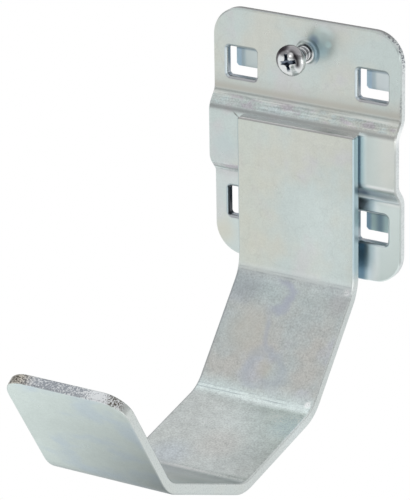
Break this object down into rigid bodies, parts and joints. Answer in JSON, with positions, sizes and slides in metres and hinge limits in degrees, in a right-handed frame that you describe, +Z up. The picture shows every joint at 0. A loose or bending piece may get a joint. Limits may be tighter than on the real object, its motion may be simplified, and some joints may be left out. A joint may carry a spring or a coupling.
{
  "type": "pipe holder",
  "caption": "Zinc-plated steel pipe holder for a perforated tool panel: a stamped hook plate with a lock screw and an open, angular bent-bar cradle with an upturned lip.",
  "frame": {"origin": "centre of the four hooks, in the plane of the plate's back, which is the panel's face", "axes": "+Z up the panel, +Y back through the panel, +X across to the right as seen from the front"},
  "size_m": [0.0544, 0.122, 0.1022],
  "materials": {
    "zinc_sheet": "bright zinc plate with a faint blue tint, satin",
    "zinc_bar": "bright zinc plate with a faint blue tint, satin, streaked along the bends",
    "zinc_screw": "bright zinc plate, mirror-like"
  },
  "bodies": {
    "bracket": {"hook_plate": "zinc_sheet", "cradle_strap": "zinc_bar"},
    "screw": {"lock_screw": "zinc_screw"}
  },
  "joints": [
    {"name": "screw_drive", "type": "slide", "parent": "bracket", "child": "screw", "axis": [0, 1, 0], "range_m": [-0.0015, 0.0055]}
  ]
}
